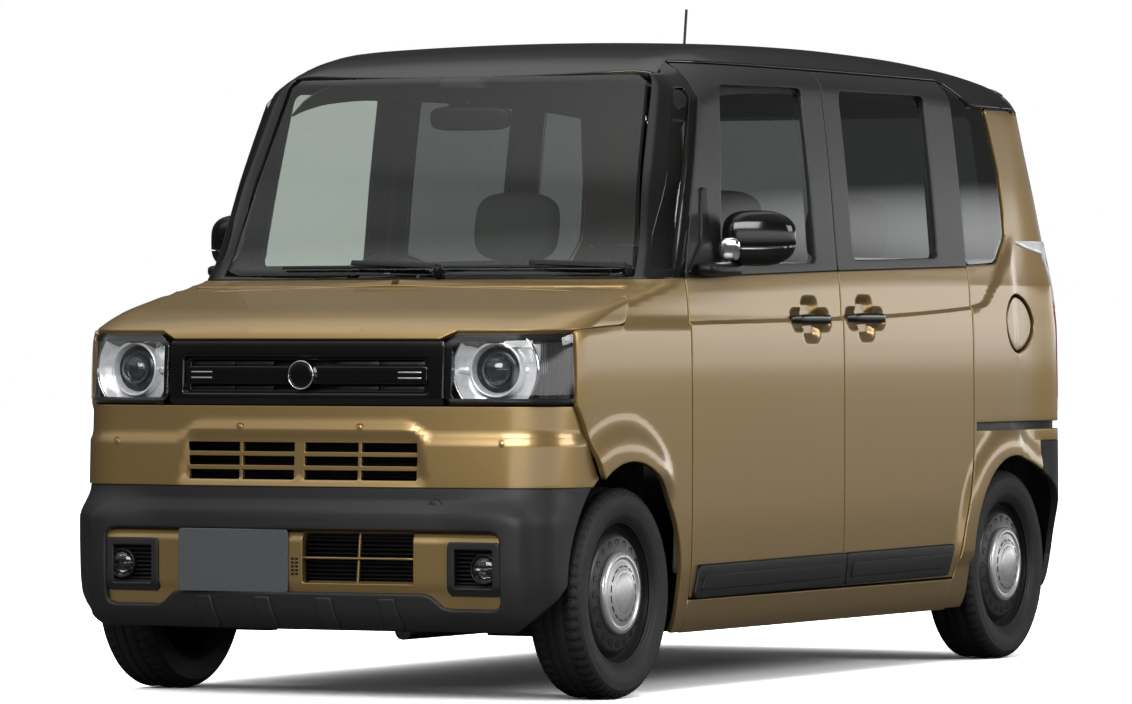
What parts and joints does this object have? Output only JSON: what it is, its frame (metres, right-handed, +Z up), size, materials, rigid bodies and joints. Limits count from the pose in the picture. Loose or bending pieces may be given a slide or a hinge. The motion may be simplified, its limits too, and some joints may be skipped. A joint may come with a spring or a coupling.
{
  "type": "kei car",
  "caption": "Tall boxy kei car with short bonnet, upright cabin, hinged front doors, sliding rear doors, tailgate and steel wheels with bright caps.",
  "frame": {"origin": "on the ground, under the middle of the car's length and width", "axes": "+Z up, +Y towards the tail, +X towards the car's left side"},
  "size_m": [1.7576, 3.3987, 1.9336],
  "materials": {
    "body_paint": "metallic khaki gold paint under clear coat",
    "roof_paint": "gloss black paint",
    "underbody": "satin black underbody paint",
    "black_plastic": "grained black plastic",
    "clear_glass": "green-tinted clear glass",
    "dark_glass": "dark privacy glass",
    "lamp_red": "clear lamp lens",
    "seat_fabric": "woven seat cloth",
    "steel": "plain steel",
    "cast_metal": "cast light alloy",
    "plate": "blank grey plate",
    "wheel_steel": "black painted steel",
    "tyre": "tyre rubber"
  },
  "bodies": {
    "body": {"body_sides": "body_paint", "fenders": "body_paint", "front_bumper": "body_paint", "bumper_panel": "body_paint", "sliding_doors": "body_paint", "roof_panel": "roof_paint", "floor_pan": "underbody", "wheel_houses": "underbody", "bumper_guard": "black_plastic", "grille": "black_plastic", "headlamps": "black_plastic", "fog_lamps": "black_plastic", "sliding_door_trim": "black_plastic", "rear_bumper": "black_plastic", "cowl": "black_plastic", "wipers": "black_plastic", "dashboard": "black_plastic", "interior_mirror": "black_plastic", "antenna": "black_plastic", "fuel_tank": "black_plastic", "headlamp_lenses": "clear_glass", "windscreen": "clear_glass", "fixed_side_glass": "dark_glass", "rear_lamps": "lamp_red", "seats": "seat_fabric", "front_subframe": "steel", "rear_axle_beam": "steel", "exhaust": "steel", "hinge_pins": "steel", "engine": "cast_metal", "number_plate": "plate"},
    "front_door_left": {"front_door_left": "body_paint", "front_door_glass_left": "clear_glass", "front_door_trim_left": "black_plastic"},
    "front_door_right": {"front_door_right": "body_paint", "front_door_glass_right": "clear_glass", "front_door_trim_right": "black_plastic"},
    "tailgate": {"tailgate": "body_paint", "tailgate_glass": "dark_glass", "rear_wiper": "black_plastic"},
    "bonnet": {"bonnet": "body_paint"},
    "fuel_lid": {"fuel_lid": "body_paint"},
    "steering_wheel": {"steering_wheel": "black_plastic"},
    "knuckle_left": {"knuckle_left": "steel"},
    "knuckle_right": {"knuckle_right": "steel"},
    "wheel_front_left": {"wheel_front_left": "wheel_steel", "tyre_front_left": "tyre"},
    "wheel_front_right": {"wheel_front_right": "wheel_steel", "tyre_front_right": "tyre"},
    "wheel_rear_left": {"wheel_rear_left": "wheel_steel", "tyre_rear_left": "tyre"},
    "wheel_rear_right": {"wheel_rear_right": "wheel_steel", "tyre_rear_right": "tyre"}
  },
  "joints": [
    {"name": "steer_left", "type": "hinge", "parent": "body", "child": "knuckle_left", "pos_m": [0.612, -1.2345, 0.278], "axis": [0, 0, 1], "range_deg": [-35, 35]},
    {"name": "steer_right", "type": "hinge", "parent": "body", "child": "knuckle_right", "pos_m": [-0.612, -1.2345, 0.278], "axis": [0, 0, 1], "range_deg": [-35, 35]},
    {"name": "steering_wheel_turn", "type": "hinge", "parent": "body", "child": "steering_wheel", "pos_m": [-0.33, -0.5, 1.01], "axis": [0, 0.8829, 0.4695], "range_deg": [-500, 500]},
    {"name": "spin_front_left", "type": "hinge", "parent": "knuckle_left", "child": "wheel_front_left", "pos_m": [0.648, -1.2345, 0.278], "axis": [1, 0, 0], "continuous": true},
    {"name": "spin_front_right", "type": "hinge", "parent": "knuckle_right", "child": "wheel_front_right", "pos_m": [-0.648, -1.2345, 0.278], "axis": [1, 0, 0], "continuous": true},
    {"name": "spin_rear_left", "type": "hinge", "parent": "body", "child": "wheel_rear_left", "pos_m": [0.648, 1.2855, 0.278], "axis": [1, 0, 0], "continuous": true},
    {"name": "spin_rear_right", "type": "hinge", "parent": "body", "child": "wheel_rear_right", "pos_m": [-0.648, 1.2855, 0.278], "axis": [1, 0, 0], "continuous": true},
    {"name": "front_door_left_swing", "type": "hinge", "parent": "body", "child": "front_door_left", "pos_m": [0.7265, -0.8505, 0.68], "axis": [0, 0, -1], "range_deg": [0, 65]},
    {"name": "front_door_right_swing", "type": "hinge", "parent": "body", "child": "front_door_right", "pos_m": [-0.7265, -0.8505, 0.68], "axis": [0, 0, 1], "range_deg": [0, 65]},
    {"name": "tailgate_lift", "type": "hinge", "parent": "body", "child": "tailgate", "pos_m": [0, 1.504, 1.726], "axis": [1, 0, 0], "range_deg": [0, 80]},
    {"name": "bonnet_lift", "type": "hinge", "parent": "body", "child": "bonnet", "pos_m": [0, -1.085, 1.086], "axis": [-1, 0, 0], "range_deg": [0, 55]},
    {"name": "fuel_lid_swing", "type": "hinge", "parent": "body", "child": "fuel_lid", "pos_m": [0.722, 1.281, 0.986], "axis": [0.0558, 0, -0.9984], "range_deg": [0, 80]}
  ],
  "couplings": [
    {"joint": "steer_right", "follows": "steer_left", "ratio": 1},
    {"joint": "steering_wheel_turn", "follows": "steer_left", "ratio": 14}
  ]
}
